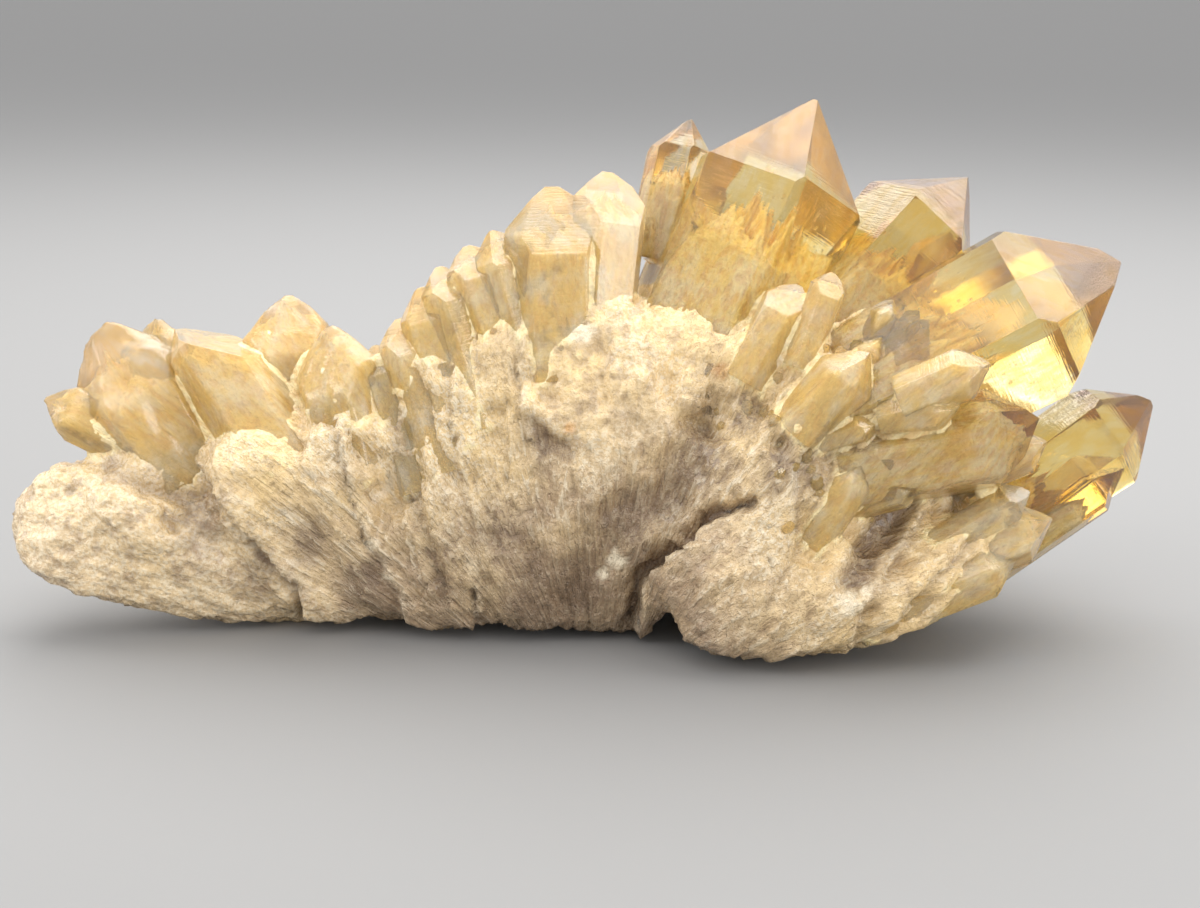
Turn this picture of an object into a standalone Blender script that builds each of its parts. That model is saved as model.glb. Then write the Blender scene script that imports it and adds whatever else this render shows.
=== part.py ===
"""A citrine cluster: golden quartz crystals grown together as a fan from one cloudy root.

The whole cluster is one solid. The cloudy root is a group of swollen lobes melted into one body
and ribbed by growth lines that run out from the growth centre. The crystals are six-sided prisms,
each cut from a block by its growth planes, and joined to the root.

Frame: +X along the cluster's length, -Y towards the side that shows the crystals' roots, +Z up.
The origin is the middle of the bounding box, on the surface that the cluster rests on.
The tables are in millimetres, from a working origin near the middle of the foot of the cluster.
MM turns them into metres, and the finished solid is moved so that its origin is as said above.
"""

import math
import random
from dataclasses import dataclass

import bmesh
import bpy
from mathutils import Matrix, Vector, noise

MM = 0.001

# Driving dimensions
GROWTH_CENTRE = Vector((2, 14, -26))
CAP_SLOPE = math.radians(51.8)
SIDE_FLARE = 0.03
VIEW_TILT = math.radians(15)
VIEW_SIDE = Vector((0, -math.cos(VIEW_TILT), math.sin(VIEW_TILT)))
ROOT_VOXEL = 1.7
ROOT_TRIANGLES = 4600
RIDGE_HEIGHT = 2.4
RIDGES_ROUND = 5.5
STREAK_HEIGHT = 0.8
STREAKS_ROUND = 13
LUMP_HEIGHT = 1.2
LUMP_SIZE = 18
CUTTER_SIZE = 400
SQUARENESS = 3.0

# How far the root's broken front flank stands towards -Y, along X, and how much of a lobe beyond it stays
FLANK = ((-70, 13), (-40, 10), (10, 11), (26, 23))
FLANK_SHARE = 0.3

# Height of the fan's crest along X, which the rows of crystals behind it keep below
CREST = ((-110, 40), (-85, 58), (-58, 62), (-42, 46), (-20, 68), (18, 90), (48, 96), (78, 84), (100, 66), (112, 36))
BACK_ROWS = ((22, 0.88, 16), (33, 0.78, 18), (45, 0.6, 17), (57, 0.4, 15))
BACK_STEP = 16
BACK_ENDS = (-88, 92)

QUARTZ_COLOUR = (0.76, 0.60, 0.36, 1.0)
QUARTZ_ROUGHNESS = 0.35


@dataclass
class Crystal:
    """One quartz crystal. Face 0 looks at the view side when roll is 0, and the rest follow by the
    right-hand rule about the axis. cuts says how far each cap face is cut below the perfect apex."""

    name: str
    root: tuple
    tip: tuple
    width: float
    roll: float = 0
    cuts: tuple = (0, 1, 0.5, 1, 0, 1)
    flat: float = 1.0


@dataclass
class Lobe:
    """A swollen part of the root: a rounded bar from foot to head, wide across the view, thick along it."""

    foot: tuple
    head: tuple
    foot_width: float
    head_width: float
    thick: float


LARGE_POINTS = [
    Crystal("main point", (19, 7, 44), (46.5, 27, 103), 38, -20, (0, 0, 2, 4, 2, 1)),
    Crystal("twin point", (33, 4, 44), (78, 28, 86.5), 29, 0, (0, 2, 0, 1, 0, 0)),
    Crystal("right point", (46, -2, 44), (106.5, -2, 77), 36, -27, (8, 5, 7, 5, 4, 3)),
    Crystal("far point", (62, 9, 9), (115, 14, 46), 22, -10, (2, 3, 2, 2, 4, 1)),
    Crystal("far lower point", (80, 8, 13), (106, 8, 34), 13, 10),
    Crystal("left spire", (14, 14, 72), (21, 20, 100), 13, -10, (0, 0, 1, 0, 3, 1)),
]

CREST_POINTS = [
    Crystal("crest block right", (3, -1, 56), (6, 8, 92.5), 15, 22, (5, 0, 0, 0, 0, 0)),
    Crystal("crest block left", (-4, -1.5, 52), (-5, 4.5, 90.7), 19, 12, (6, 0, 0, 0, 0, 1)),
    Crystal("crest step 7", (-2, -3, 54), (-11, 4, 85), 13, -10, (3, 0, 0, 0, 0, 0)),
    Crystal("crest step 6", (-8, -4, 51), (-17, 4, 81), 11, 20, (3, 0, 0, 0, 0, 2)),
    Crystal("crest step 5", (-12, -4, 48), (-22, 5, 78), 11, 5, (3, 0, 0, 0, 0, 0)),
    Crystal("crest step 4", (-17, -3, 43), (-27, 5, 74), 11, 25, (3, 1, 0, 0, 0, 0)),
    Crystal("crest step 3", (-22, -3, 39), (-31, 5, 70), 11, -5, (3, 0, 0, 0, 0, 1)),
    Crystal("crest step 2", (-26, -3, 34), (-35, 5, 64), 11, 12, (3, 0, 0, 0, 0, 0)),
    Crystal("crest step 1", (-31, -2, 30), (-40, 6, 58), 10, 0, (2, 0, 0, 0, 0, 0)),
]

LEFT_POINTS = [
    Crystal("left block", (-56, 1, 33), (-79, 16, 64), 19, 5, (1, 9, 0, 0, 0, 1)),
    Crystal("left broad point", (-78, 14, 28), (-97, 14, 62), 27, 12, (4, 0, 0, 3, 0, 3)),
    Crystal("left low point", (-85, 10, 35), (-107, 10, 46), 13, 25, (2, 0, 0, 0, 2, 0)),
    Crystal("left peak", (-79, 14, 36), (-85, 20, 61), 16, 0, (2, 0, 0, 0, 0, 0)),
    Crystal("left tall point", (-56, 14, 36), (-59, 18, 68), 19, 15, (5, 0, 0, 0, 2, 0)),
    Crystal("left shoulder", (-42, 3, 32), (-50, 6, 63.5), 18, -20, (5, 1, 0, 0, 0, 2)),
]

RIGHT_POINTS = [
    Crystal("front table point", (58, -18, 52), (74, -22, 60), 10, 0),
    Crystal("front small point", (55, -16, 48), (69, -22, 52), 8, 20),
    Crystal("amber point", (48, -10, 37), (87, -12, 46), 20, 20, (4, 0, 2, 0, 0, 0)),
    Crystal("amber side point", (72, -4, 33), (89, -4, 41), 9, 0),
    Crystal("low point upper", (49, -14, 12), (85, -10, 33), 9, 20),
    Crystal("low point middle", (57, -10, 13), (90, -8, 27), 13, 0),
    Crystal("low point lower", (52, -14, 8), (83, -12, 21), 13, 25),
    Crystal("druse 1", (40, -10, 56), (47, -6, 74), 7, 10, (2, 0, 0, 0, 0, 0)),
    Crystal("druse 2", (30, -8, 53), (41, -4, 72), 10, -20, (3, 0, 0, 0, 0, 0)),
    Crystal("druse 3", (52, -8, 55), (58, -6, 69), 6, 5),
    Crystal("druse 4", (55, -10, 56), (63, -8, 67), 5, 20),
    Crystal("druse 5", (48, -10, 50), (56, -10, 63), 7, -10),
    Crystal("druse 6", (52, -8, 46), (65, -8, 65), 11, 25),
    Crystal("druse 7", (40, -14, 45), (53, -16, 61), 12, 0),
    Crystal("druse 8", (42, -14, 42), (55, -18, 48), 6, 10),
    Crystal("druse 9", (50, -12, 37), (60, -18, 43), 7, 25),
    Crystal("druse 10", (50, -12, 30), (63, -18, 36), 7, 5),
    Crystal("druse 11", (43, -16, 24), (52, -18, 41), 8, -15),
]

FRONT_LOBES = [
    Lobe((-60, 8, 6), (-107, 9, 24), 14, 31, 24),
    Lobe((-63, 8, 8), (-92, 5, 30), 13, 22, 24),
    Lobe((-46, 6, 4), (-67, -1, 38), 15, 24, 20),
    Lobe((-36, 4, 4), (-48, 2, 43), 14, 22, 22),
    Lobe((-28, 3, 4), (-34, 5, 44), 13, 14, 22),
    Lobe((-22, 0, 5), (-25, 1, 54), 17, 24, 22),
    Lobe((-10, -1, 4), (-11, 1, 62), 18, 26, 22),
    Lobe((-2, -2, 4), (6, 0, 64), 21, 34, 24),
    Lobe((6, 0, 4), (22, -2, 52), 19, 30, 24),
    Lobe((11, 0, 8), (30, -6, 41), 15, 25, 22),
    Lobe((10, 1, 16), (29, 6, 62), 24, 38, 34),
    Lobe((19, -13, 13), (70, -12, 16), 29, 21, 24),
    Lobe((50, -14, 10), (78, -12, 20), 16, 12, 18),
    Lobe((22, -8, 21), (44, -13, 43), 15, 19, 16),
    Lobe((46, -4, 17), (66, -4, 35), 21, 23, 20),
    Lobe((34, -6, 34), (52, -4, 58), 21, 23, 20),
]

BACK_LOBES = [
    Lobe((-50, 15, 4), (-76, 21, 31), 26, 32, 26),
    Lobe((-28, 15, 3), (-36, 21, 36), 30, 36, 34),
    Lobe((-2, 15, 3), (-2, 22, 46), 34, 44, 36),
    Lobe((27, 14, 3), (36, 22, 45), 34, 44, 36),
    Lobe((50, 12, 4), (73, 18, 32), 28, 34, 30),
]


def crystal_object(crystal):
    """Cuts a block with the crystal's growth planes, in its own frame, and stands it on its root."""
    root, tip = Vector(crystal.root), Vector(crystal.tip)
    axis = (tip - root).normalized()
    height = (tip - root).length
    inner = crystal.width / 2 * math.cos(math.radians(30))
    wobble = random.Random(crystal.name)
    planes = [(Vector(), Vector((0, 0, -1)))]
    for face in range(6):
        turn = math.radians(crystal.roll + 60 * face)
        out = Vector((math.cos(turn), math.sin(turn), 0))
        reach = inner * wobble.uniform(0.93, 1.07)
        reach *= 1 - (1 - crystal.flat) * abs(math.cos(turn))
        shoulder = height - reach * math.tan(CAP_SLOPE)
        side = (out - Vector((0, 0, SIDE_FLARE))).normalized()
        planes.append((out * reach + Vector((0, 0, shoulder)), side))
        slope = out * math.sin(CAP_SLOPE) + Vector((0, 0, math.cos(CAP_SLOPE)))
        planes.append((Vector((0, 0, height - crystal.cuts[face])), slope))
    bm = bmesh.new()
    bmesh.ops.create_cube(bm, size=4 * height + 4 * crystal.width)
    for point, normal in planes:
        every = bm.verts[:] + bm.edges[:] + bm.faces[:]
        cut = bmesh.ops.bisect_plane(bm, geom=every, plane_co=point, plane_no=normal, clear_outer=True)
        rim = [e for e in cut["geom_cut"] if isinstance(e, bmesh.types.BMEdge)]
        if rim:
            bmesh.ops.contextual_create(bm, geom=rim)
    bmesh.ops.recalc_face_normals(bm, faces=bm.faces[:])
    front = (VIEW_SIDE - VIEW_SIDE.dot(axis) * axis).normalized()
    place = Matrix((front, axis.cross(front), axis)).transposed().to_4x4()
    place.translation = root
    bmesh.ops.transform(bm, matrix=Matrix.Scale(MM, 4) @ place, verts=bm.verts[:])
    return object_of(bm, crystal.name)


def lobe_object(lobe, name):
    """A ball drawn out from foot to head, with blunt ends and its own width at each."""
    foot, head = Vector(lobe.foot), Vector(lobe.head)
    axis = (head - foot).normalized()
    thick_way = (VIEW_SIDE - VIEW_SIDE.dot(axis) * axis).normalized()
    across = axis.cross(thick_way)
    middle, half = (foot + head) / 2, (head - foot).length / 2 + lobe.thick / 6
    bm = bmesh.new()
    bmesh.ops.create_icosphere(bm, subdivisions=4, radius=1)
    for vert in bm.verts:
        along = vert.co.z
        blunt = math.sqrt(1 + along * along)
        turn = math.atan2(vert.co.y, vert.co.x)
        corner = abs(math.cos(turn)) ** SQUARENESS + abs(math.sin(turn)) ** SQUARENESS
        blunt /= corner ** (1 / SQUARENESS)
        width = lobe.foot_width + (lobe.head_width - lobe.foot_width) * (along + 1) / 2
        depth = lobe.thick * width / max(lobe.foot_width, lobe.head_width)
        spot = middle + axis * along * half
        spot += across * vert.co.x * blunt * width / 2 + thick_way * vert.co.y * blunt * depth / 2
        vert.co = spot * MM
    bmesh.ops.recalc_face_normals(bm, faces=bm.faces[:])
    return object_of(bm, name)


def object_of(bm, name):
    mesh = bpy.data.meshes.new(name)
    bm.to_mesh(mesh)
    bm.free()
    made = bpy.data.objects.new(name, mesh)
    bpy.context.scene.collection.objects.link(made)
    return made


def read_line(line, x):
    """The value at x on the straight runs between line's points, level beyond its ends."""
    x = min(max(x, line[0][0]), line[-1][0])
    for (x0, value0), (x1, value1) in zip(line, line[1:]):
        if x <= x1:
            return value0 + (value1 - value0) * (x - x0) / (x1 - x0)
    return line[-1][1]


def back_crystals():
    """Rows of crystals behind the crest, each row lower and leaning further back."""
    chance = random.Random("back rows")
    crystals = []
    for row, (depth, share, width) in enumerate(BACK_ROWS):
        x = BACK_ENDS[0] + BACK_STEP / 2 * (row % 2)
        while x < BACK_ENDS[1]:
            spot = x + chance.uniform(-4, 4)
            high = read_line(CREST, spot) * share * chance.uniform(0.86, 1.0)
            tip = (spot, depth + chance.uniform(-3, 4), high)
            root = (spot * 0.66, 10 + depth * 0.25, 8 + high * 0.3)
            size = width * chance.uniform(0.75, 1.3)
            cuts = tuple(chance.choice((0, 0, 1, 2, 4)) for _ in range(6))
            name = f"back row {row + 1} point {len(crystals) + 1}"
            crystals.append(Crystal(name, root, tip, size, chance.uniform(0, 60), cuts))
            x += BACK_STEP
    return crystals


def broken_flank(spot):
    """Moves a point of a lobe that stands out in front of the broken flank most of the way back to it."""
    beyond = -spot.y - read_line(FLANK, spot.x)
    return Vector((spot.x, spot.y + max(0, beyond) * (1 - FLANK_SHARE), spot.z))


def growth_relief(spot):
    """How far the root's surface stands out at spot, in millimetres: growth lines and broad lumps."""
    way = (spot - GROWTH_CENTRE).normalized()
    ridge = 0.5 - 2 * abs(noise.noise(way * RIDGES_ROUND))
    streak = 0.5 - 2 * abs(noise.noise(way * STREAKS_ROUND))
    lump = noise.fractal(spot / LUMP_SIZE, 1.0, 2.0, 2)
    return RIDGE_HEIGHT * ridge + STREAK_HEIGHT * streak + LUMP_HEIGHT * lump


def move_to(made, collection):
    bpy.context.scene.collection.objects.unlink(made)
    collection.objects.link(made)


def modified(source, name, kind, **settings):
    """Applies one modifier to source and returns it with the result as its mesh."""
    modifier = source.modifiers.new(name, kind)
    for key, value in settings.items():
        setattr(modifier, key, value)
    graph = bpy.context.evaluated_depsgraph_get()
    mesh = bpy.data.meshes.new_from_object(source.evaluated_get(graph))
    source.modifiers.clear()
    source.data = mesh
    return source


def root_object():
    """The cloudy root: the lobes melted together, ribbed, and thinned to its share of the triangles."""
    lobes = [lobe_object(lobe, f"lobe {n + 1}") for n, lobe in enumerate(FRONT_LOBES + BACK_LOBES)]
    bm = bmesh.new()
    for lobe in lobes:
        bm.from_mesh(lobe.data)
        bpy.data.objects.remove(lobe)
    root = object_of(bm, "cloudy root")
    modified(root, "Melt", "REMESH", mode="VOXEL", voxel_size=ROOT_VOXEL * MM)
    for vert in root.data.vertices:
        vert.co = broken_flank(vert.co / MM) * MM
    outward = [vert.normal.copy() for vert in root.data.vertices]
    for vert, normal in zip(root.data.vertices, outward):
        vert.co += normal * growth_relief(vert.co / MM) * MM
    ratio = ROOT_TRIANGLES / (2 * len(root.data.polygons))
    return modified(root, "Thin", "DECIMATE", ratio=ratio)


def quartz():
    """Golden quartz: one material all over."""
    material = bpy.data.materials.new("Citrine")
    material.use_nodes = True
    shader = material.node_tree.nodes["Principled BSDF"]
    shader.inputs["Base Color"].default_value = QUARTZ_COLOUR
    shader.inputs["Roughness"].default_value = QUARTZ_ROUGHNESS
    shader.inputs["Metallic"].default_value = 0.0
    return material


def ground_block():
    """A block whose top is the ground, which cuts the lobes' undersides flat where they rest."""
    bm = bmesh.new()
    bmesh.ops.create_cube(bm, size=CUTTER_SIZE * MM)
    bmesh.ops.translate(bm, vec=Vector((0, 0, -CUTTER_SIZE / 2 * MM)), verts=bm.verts[:])
    return object_of(bm, "ground")


def main():
    for old in list(bpy.data.objects):
        bpy.data.objects.remove(old)
    body = bpy.data.collections.new("Citrine cluster")
    grown = bpy.data.collections.new("Crystals and ground to join and cut")
    for collection in (body, grown):
        bpy.context.scene.collection.children.link(collection)
    cluster = root_object()
    ground = ground_block()
    crystals = LARGE_POINTS + CREST_POINTS + LEFT_POINTS + RIGHT_POINTS + back_crystals()
    blocks = [crystal_object(crystal) for crystal in crystals]
    for block in blocks:
        move_to(block, grown)
    modified(cluster, "Grow", "BOOLEAN", operation="UNION", operand_type="COLLECTION", collection=grown)
    modified(cluster, "Rest", "BOOLEAN", operation="DIFFERENCE", object=ground)
    move_to(ground, grown)
    for cutter in blocks + [ground]:
        cutter.hide_render = True
        cutter.display_type = "WIRE"
    corners = [Vector(corner) for corner in cluster.bound_box]
    middle = sum(corners, Vector()) / len(corners)
    shift = Vector((-middle.x, -middle.y, 0))
    cluster.data.transform(Matrix.Translation(shift))
    cluster.name = "citrine_cluster"
    cluster.data.name = "citrine_cluster"
    cluster.data.materials.clear()
    cluster.data.materials.append(quartz())
    move_to(cluster, body)


main()
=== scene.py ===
"""The looks of a citrine cluster: golden quartz crystals that grew together from one cloudy root.

Run as a script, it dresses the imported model. The cloudy root is a finer copy of the solid, drawn in
under the crystals' faces, and each crystal is a closed glass body with the solid's own planes.
"""

import math
import random
from dataclasses import dataclass

import bmesh
import bpy
import numpy as np
from bpy.props import FloatProperty, FloatVectorProperty, IntProperty, PointerProperty
from mathutils import Matrix, Vector, noise


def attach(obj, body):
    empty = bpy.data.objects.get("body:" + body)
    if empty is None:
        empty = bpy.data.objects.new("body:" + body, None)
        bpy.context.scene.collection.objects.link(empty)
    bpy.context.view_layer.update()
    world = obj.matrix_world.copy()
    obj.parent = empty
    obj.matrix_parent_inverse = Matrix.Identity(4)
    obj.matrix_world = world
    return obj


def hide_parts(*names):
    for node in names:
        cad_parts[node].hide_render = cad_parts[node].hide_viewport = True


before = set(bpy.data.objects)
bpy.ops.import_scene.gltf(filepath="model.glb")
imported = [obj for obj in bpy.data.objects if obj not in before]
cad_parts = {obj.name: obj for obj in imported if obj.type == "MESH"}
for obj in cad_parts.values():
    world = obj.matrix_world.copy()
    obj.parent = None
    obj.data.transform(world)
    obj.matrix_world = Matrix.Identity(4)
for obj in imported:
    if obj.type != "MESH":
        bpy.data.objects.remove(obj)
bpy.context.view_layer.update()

bl_info = {
    "name": "Citrine cluster",
    "version": (1, 0, 0),
    "blender": (4, 5, 0),
    "location": "3D View > Sidebar > Citrine",
    "description": "Dresses a cluster of golden quartz crystals grown from one cloudy root",
    "category": "Add Mesh",
}

MM = 0.001

# The solid's own sizes, in millimetres from its working origin
ORIGIN_SHIFT = Vector((0.05, -17.2, 0))
GROWTH_CENTRE = Vector((2, 14, -26))
CAP_SLOPE = math.radians(51.8)
SIDE_FLARE = 0.03
VIEW_TILT = math.radians(15)
VIEW_SIDE = Vector((0, -math.cos(VIEW_TILT), math.sin(VIEW_TILT)))
CREST = (
    (-110, 40), (-85, 58), (-58, 62), (-42, 46), (-20, 68),
    (18, 90), (48, 96), (78, 84), (100, 66), (112, 36),
)
BACK_ROWS = ((22, 0.88, 16), (33, 0.78, 18), (45, 0.6, 17), (57, 0.4, 15))
BACK_STEP = 16
BACK_ENDS = (-88, 92)

# Colours of the small marks on the root
DULL_SPOT = (0.50, 0.34, 0.19)
DARK_FIBRE = (0.33, 0.205, 0.11)
PIT = (0.30, 0.19, 0.10)
RUST = (0.62, 0.27, 0.05)
# Painted shade: the colour that darkens the dips of the gritty rubble's bumps
RUBBLE_DIP_SHADE = (0.36, 0.24, 0.14)

# How a crystal and the root bend light, and how much of it goes through the faces of a clear crystal
CRYSTAL_IOR = 1.544
ROOT_IOR = 1.54
CLEAR_SHARE = 0.96

# In millimetres: the block that a crystal is cut from, the squares of a worn one's mesh, the wear from
# which it is made so, and how deep under its faces a crack in it lies
UNCUT_SIZE = 800
WORN_SQUARE = 0.9
SLIGHTLY_WORN = 0.3
CRACK_COVER = 1.2

# A crack's points along each side, how far its rim reaches, as a squared share of its size, and how
# many times the root is smoothed before its relief is made
CRACK_POINTS = 9
CRACK_RIM = 1.1
SMOOTHING_PASSES = 32

# The photograph's camera: how far it stood from the cluster, and the point that it looked at
CAMERA_DISTANCE = 382.6
CAMERA_TARGET = Vector((3.6, 0, 37))
CAMERA_LENS = 60
CAMERA_SENSOR = 36

# The stage, in metres: the floor's half width, and where each light stands, how wide it is and what
# they all point at
FLOOR_REACH = 6
LIGHTS = {
    "overhead": ((0.10, 0.28, 0.62), (1.0, 0.7)),
    "key": ((-1.00, -0.28, 0.48), (0.5, 0.5)),
    "fill": ((0.85, -0.75, 0.22), (0.5, 0.5)),
    "front": ((-0.25, -0.42, 1.05), (1.2, 0.8)),
}
LIGHT_TARGET = Vector((0, 0, 0.05))


@dataclass
class Crystal:
    """One quartz crystal of the solid. cloud says how far up its length the cloud inside
    reaches, and worn how rough its faces are, in millimetres."""

    name: str
    root: tuple
    tip: tuple
    width: float
    roll: float = 0
    cuts: tuple = (0, 1, 0.5, 1, 0, 1)
    cloud: float = 0.8
    worn: float = 0


MAIN_POINT = Crystal("main point", (19, 7, 44), (46.5, 27, 103), 38, -20, (0, 0, 2, 4, 2, 1), 0.45)
TWIN_POINT = Crystal("twin point", (33, 4, 44), (78, 28, 86.5), 29, 0, (0, 2, 0, 1, 0, 0), 0.5)
RIGHT_POINT = Crystal("right point", (46, -2, 44), (106.5, -2, 77), 36, -27, (8, 5, 7, 5, 4, 3), 0.3)
FAR_POINT = Crystal("far point", (62, 9, 9), (115, 14, 46), 22, -10, (2, 3, 2, 2, 4, 1), 0.45)
FAR_LOWER_POINT = Crystal("far lower point", (80, 8, 13), (106, 8, 34), 13, 10, cloud=0.6)
LEFT_SPIRE = Crystal("left spire", (14, 14, 72), (21, 20, 100), 13, -10, (0, 0, 1, 0, 3, 1), 0.5)
AMBER_POINT = Crystal("amber point", (48, -10, 37), (87, -12, 46), 20, 20, (4, 0, 2, 0, 0, 0), 0.75)

CREST_POINTS = [
    Crystal("crest block right", (3, -1, 56), (6, 8, 92.5), 15, 22, (5, 0, 0, 0, 0, 0), 0.7),
    Crystal("crest block left", (-4, -1.5, 52), (-5, 4.5, 90.7), 19, 12, (6, 0, 0, 0, 0, 1), 0.7),
    Crystal("crest step 7", (-2, -3, 54), (-11, 4, 85), 13, -10, (3, 0, 0, 0, 0, 0)),
    Crystal("crest step 6", (-8, -4, 51), (-17, 4, 81), 11, 20, (3, 0, 0, 0, 0, 2)),
    Crystal("crest step 5", (-12, -4, 48), (-22, 5, 78), 11, 5, (3, 0, 0, 0, 0, 0)),
    Crystal("crest step 4", (-17, -3, 43), (-27, 5, 74), 11, 25, (3, 1, 0, 0, 0, 0)),
    Crystal("crest step 3", (-22, -3, 39), (-31, 5, 70), 11, -5, (3, 0, 0, 0, 0, 1)),
    Crystal("crest step 2", (-26, -3, 34), (-35, 5, 64), 11, 12, (3, 0, 0, 0, 0, 0)),
    Crystal("crest step 1", (-31, -2, 30), (-40, 6, 58), 10, 0, (2, 0, 0, 0, 0, 0)),
]

LEFT_POINTS = [
    Crystal("left block", (-56, 1, 33), (-79, 16, 64), 19, 5, (1, 9, 0, 0, 0, 1), 0.7, 0.15),
    Crystal("left broad point", (-78, 14, 28), (-97, 14, 62), 27, 12, (4, 0, 0, 3, 0, 3), 0.5, 0.9),
    Crystal("left low point", (-85, 10, 35), (-107, 10, 46), 13, 25, (2, 0, 0, 0, 2, 0), 0.7, 0.8),
    Crystal("left peak", (-79, 14, 36), (-85, 20, 61), 16, 0, (2, 0, 0, 0, 0, 0), 0.7, 0.9),
    Crystal("left tall point", (-56, 14, 36), (-59, 18, 68), 19, 15, (5, 0, 0, 0, 2, 0), 0.7, 0.6),
    Crystal("left shoulder", (-42, 3, 32), (-50, 6, 63.5), 18, -20, (5, 1, 0, 0, 0, 2), 0.75, 0.7),
]

LOW_POINTS = [
    Crystal("amber side point", (72, -4, 33), (89, -4, 41), 9, 0),
    Crystal("low point upper", (49, -14, 12), (85, -10, 33), 9, 20),
    Crystal("low point middle", (57, -10, 13), (90, -8, 27), 13, 0),
    Crystal("low point lower", (52, -14, 8), (83, -12, 21), 13, 25),
]

SMALL_POINTS = [
    Crystal("front table point", (58, -18, 52), (74, -22, 60), 10, 0),
    Crystal("front small point", (55, -16, 48), (69, -22, 52), 8, 20),
    Crystal("druse 1", (40, -10, 56), (47, -6, 74), 7, 10, (2, 0, 0, 0, 0, 0)),
    Crystal("druse 2", (30, -8, 53), (41, -4, 72), 10, -20, (3, 0, 0, 0, 0, 0)),
    Crystal("druse 3", (52, -8, 55), (58, -6, 69), 6, 5),
    Crystal("druse 4", (55, -10, 56), (63, -8, 67), 5, 20),
    Crystal("druse 5", (48, -10, 50), (56, -10, 63), 7, -10),
    Crystal("druse 6", (52, -8, 46), (65, -8, 65), 11, 25),
    Crystal("druse 7", (40, -14, 45), (53, -16, 61), 12, 0),
    Crystal("druse 8", (42, -14, 42), (55, -18, 48), 6, 10),
    Crystal("druse 9", (50, -12, 37), (60, -18, 43), 7, 25),
    Crystal("druse 10", (50, -12, 30), (63, -18, 36), 7, 5),
    Crystal("druse 11", (43, -16, 24), (52, -18, 41), 8, -15),
]


def read_line(line, x):
    """The value at x on the straight runs between line's points, level beyond its ends."""
    x = min(max(x, line[0][0]), line[-1][0])
    for (x0, value0), (x1, value1) in zip(line, line[1:]):
        if x <= x1:
            return value0 + (value1 - value0) * (x - x0) / (x1 - x0)
    return line[-1][1]


def back_crystals():
    """Rows of crystals behind the crest, each row lower and leaning further back."""
    chance = random.Random("back rows")
    crystals = []
    for row, (depth, share, width) in enumerate(BACK_ROWS):
        x = BACK_ENDS[0] + BACK_STEP / 2 * (row % 2)
        while x < BACK_ENDS[1]:
            spot = x + chance.uniform(-4, 4)
            high = read_line(CREST, spot) * share * chance.uniform(0.86, 1.0)
            tip = (spot, depth + chance.uniform(-3, 4), high)
            root = (spot * 0.66, 10 + depth * 0.25, 8 + high * 0.3)
            size = width * chance.uniform(0.75, 1.3)
            cuts = tuple(chance.choice((0, 0, 1, 2, 4)) for _ in range(6))
            name = f"back row {row + 1} point {len(crystals) + 1}"
            crystals.append(Crystal(name, root, tip, size, chance.uniform(0, 60), cuts))
            x += BACK_STEP
    return crystals


BACK_POINTS = back_crystals()
CLEAR_POINTS = [MAIN_POINT, TWIN_POINT, RIGHT_POINT, FAR_POINT, FAR_LOWER_POINT, LEFT_SPIRE, AMBER_POINT]
ALL_POINTS = CLEAR_POINTS + CREST_POINTS + LEFT_POINTS + LOW_POINTS + SMALL_POINTS + BACK_POINTS


def growth_planes(crystal):
    """The crystal's planes in its own frame, in millimetres: foot, then a side and a cap for each face."""
    height = (Vector(crystal.tip) - Vector(crystal.root)).length
    inner = crystal.width / 2 * math.cos(math.radians(30))
    wobble = random.Random(crystal.name)
    planes = [(Vector(), Vector((0, 0, -1)))]
    for face in range(6):
        turn = math.radians(crystal.roll + 60 * face)
        out = Vector((math.cos(turn), math.sin(turn), 0))
        reach = inner * wobble.uniform(0.93, 1.07)
        shoulder = height - reach * math.tan(CAP_SLOPE)
        side = (out - Vector((0, 0, SIDE_FLARE))).normalized()
        planes.append((out * reach + Vector((0, 0, shoulder)), side))
        slope = out * math.sin(CAP_SLOPE) + Vector((0, 0, math.cos(CAP_SLOPE)))
        planes.append((Vector((0, 0, height - crystal.cuts[face])), slope))
    return planes


def placement(crystal):
    """From the crystal's own frame to the solid's working frame, both in millimetres."""
    axis = (Vector(crystal.tip) - Vector(crystal.root)).normalized()
    front = (VIEW_SIDE - VIEW_SIDE.dot(axis) * axis).normalized()
    place = Matrix((front, axis.cross(front), axis)).transposed().to_4x4()
    place.translation = Vector(crystal.root)
    return place


def to_row_frame():
    """From the solid's working frame in millimetres to the row frame in metres."""
    return Matrix.Scale(MM, 4) @ Matrix.Translation(ORIGIN_SHIFT)


def spot(x, y, z):
    """A point of the working frame, in the row frame in metres."""
    return to_row_frame() @ Vector((x, y, z))


# Sizes and colours that a user would change


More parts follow.
